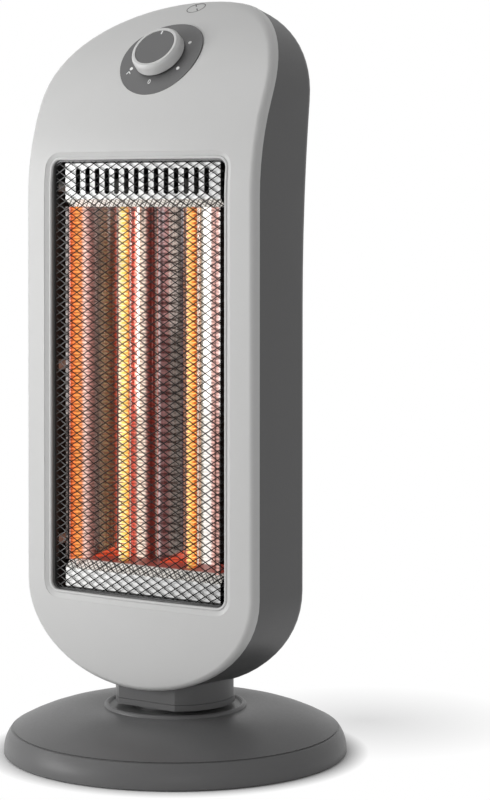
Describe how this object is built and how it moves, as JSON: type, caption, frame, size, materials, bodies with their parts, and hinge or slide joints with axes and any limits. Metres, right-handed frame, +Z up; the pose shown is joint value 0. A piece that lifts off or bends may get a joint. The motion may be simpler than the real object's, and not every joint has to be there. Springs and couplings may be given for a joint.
{
  "type": "carbon heater",
  "caption": "Tower carbon heater with glowing tubes behind a wire guard, a leaning control dial on top and a round swivelling base.",
  "frame": {"origin": "on the floor under the middle of the base, on the axis the head swivels about", "axes": "+Z up, -Y towards the side the heat comes out of, +X to the right seen from the front"},
  "size_m": [0.29, 0.29, 0.637],
  "materials": {
    "light_plastic": "satin light grey, fine moulded grain",
    "dark_plastic": "satin dark grey, fine moulded grain",
    "dial_plastic": "satin mid grey with white marks",
    "cap_plastic": "satin mid grey",
    "black_paint": "heat-proof matt black",
    "polished_aluminium": "bright rolled reflector sheet",
    "zinc_steel": "galvanised sheet",
    "screw_steel": "zinc plated",
    "quartz": "clear fused quartz",
    "carbon": "carbon filament, glowing orange",
    "ceramic": "cream steatite ceramic",
    "black_plastic": "moulded black",
    "nylon": "natural nylon",
    "weight_iron": "raw cast iron",
    "rubber": "soft black",
    "red_plastic": "moulded red"
  },
  "bodies": {
    "base": {"base_cover": "dark_plastic", "base_plate": "black_plastic", "base_weight": "weight_iron", "base_feet": "rubber", "base_screws": "screw_steel", "lead_bush": "rubber", "terminal_block": "nylon", "bearing_washer": "nylon", "swivel_motor": "zinc_steel", "motor_screws": "screw_steel", "tip_switch": "black_plastic"},
    "head": {"swivel_tube": "zinc_steel", "swivel_gear": "nylon", "gear_clip": "screw_steel", "neck_ring": "dark_plastic", "flange_screws": "screw_steel", "neck_column": "dark_plastic", "neck_screws": "screw_steel", "front_panel": "light_plastic", "rear_shell": "dark_plastic", "shell_screws": "screw_steel", "guard_frame": "black_paint", "guard_mesh": "black_paint", "guard_screws": "screw_steel", "reflector": "polished_aluminium", "reflector_top": "polished_aluminium", "reflector_bottom": "polished_aluminium", "heat_shield": "zinc_steel", "shield_screws": "screw_steel", "tube_left": "quartz", "tube_right": "quartz", "filament_left": "carbon", "filament_right": "carbon", "tube_caps": "ceramic", "holder_top": "zinc_steel", "holder_bottom": "zinc_steel", "thermal_cutout": "black_plastic", "dial_plate": "dial_plastic", "rotary_switch": "black_plastic"},
    "pinion": {"drive_pinion": "nylon"},
    "plunger": {"tip_plunger": "red_plastic"},
    "knob": {"knob_ring": "light_plastic", "knob_cap": "cap_plastic", "switch_spindle": "nylon"}
  },
  "joints": [
    {"name": "head_swivel", "type": "hinge", "parent": "base", "child": "head", "pos_m": [0, 0, 0.0385], "axis": [0, 0, 1], "range_deg": [-35, 35]},
    {"name": "pinion_spin", "type": "hinge", "parent": "base", "child": "pinion", "pos_m": [0, 0.045, 0.017], "axis": [0, 0, 1], "range_deg": [-145, 145]},
    {"name": "plunger_drop", "type": "slide", "parent": "base", "child": "plunger", "axis": [0, 0, 1], "range_m": [-0.005, 0], "stiffness_N_per_m": 60, "springref_m": -0.008},
    {"name": "knob_turn", "type": "hinge", "parent": "head", "child": "knob", "pos_m": [0, -0.02073, 0.587], "axis": [0, -0.7838, 0.6211], "range_deg": [-180, 120]}
  ],
  "couplings": [
    {"joint": "pinion_spin", "follows": "head_swivel", "ratio": -4}
  ]
}
